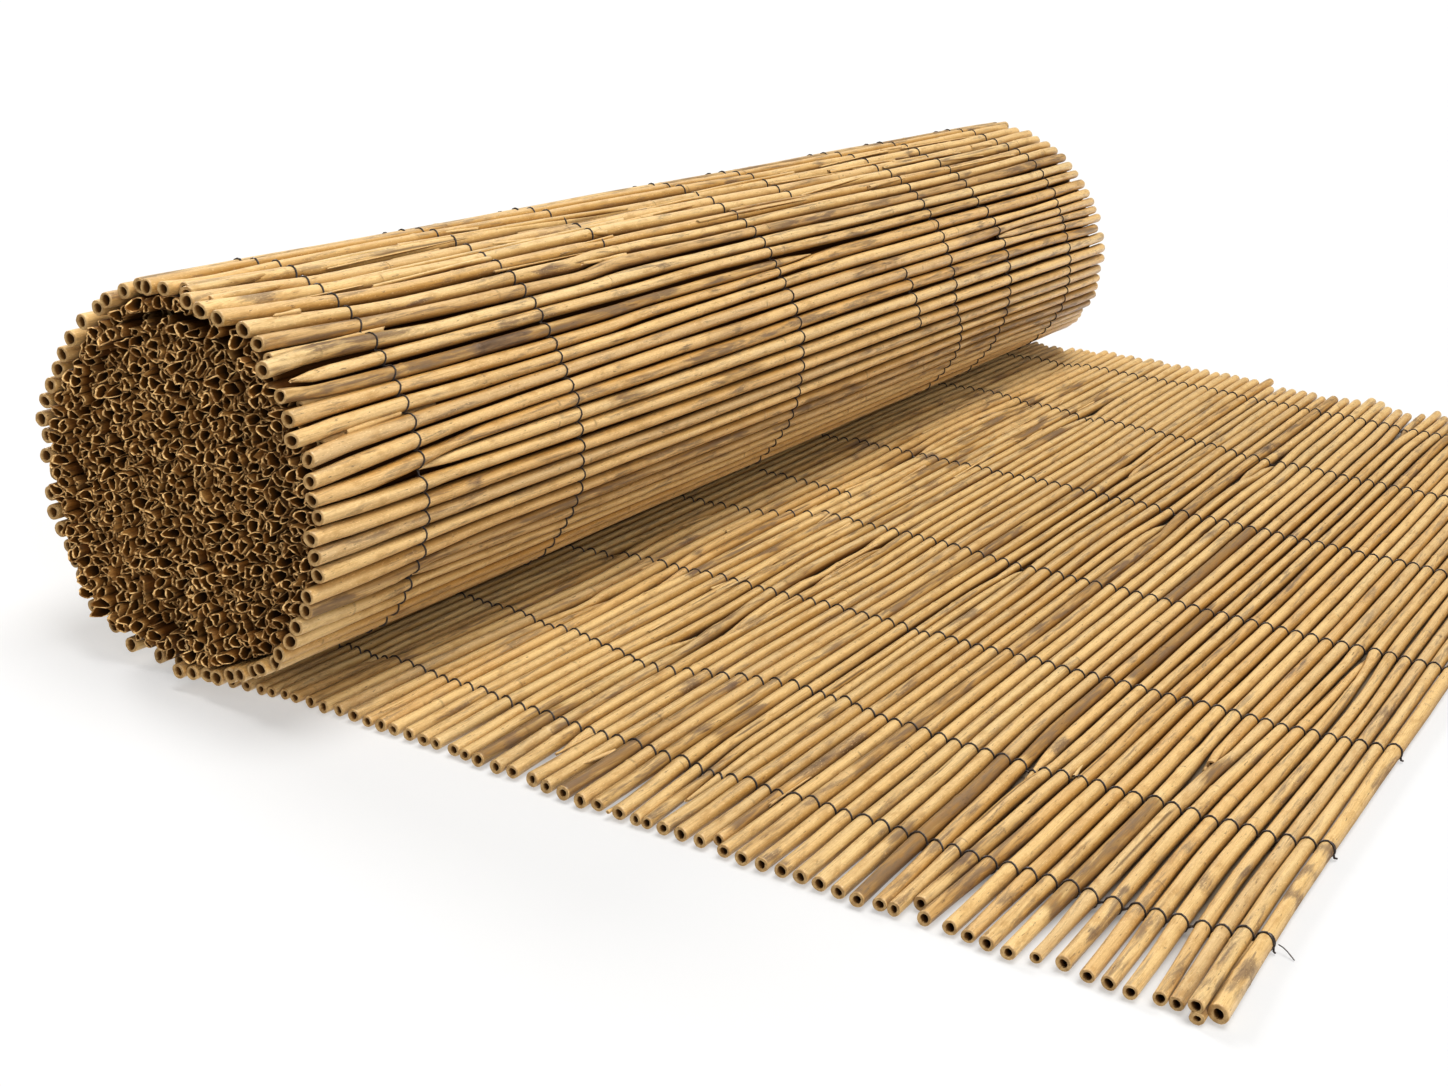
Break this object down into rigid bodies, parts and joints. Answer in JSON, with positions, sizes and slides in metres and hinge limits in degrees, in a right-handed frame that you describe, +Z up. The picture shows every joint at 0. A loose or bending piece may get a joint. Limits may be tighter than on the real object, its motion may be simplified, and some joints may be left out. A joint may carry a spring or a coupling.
{
  "type": "rolled bamboo mat",
  "caption": "Mat of hollow bamboo canes laid side by side and bound with wire, wound into a roll with its loose end lying out flat.",
  "frame": {"origin": "bottom centre of the bounding box, on the surface that the roll and the loose end lie on", "axes": "+X along the canes, -Y the way the loose end runs out from under the roll, +Z up"},
  "size_m": [1.0244, 0.6014, 0.1971],
  "materials": {
    "roll_cane": "satin",
    "loose_cane": "satin",
    "binding_wire": "dark, slightly rusted"
  },
  "bodies": {
    "root": {"mat_roll": "roll_cane", "mat_loose_end": "loose_cane"}
  },
  "joints": []
}
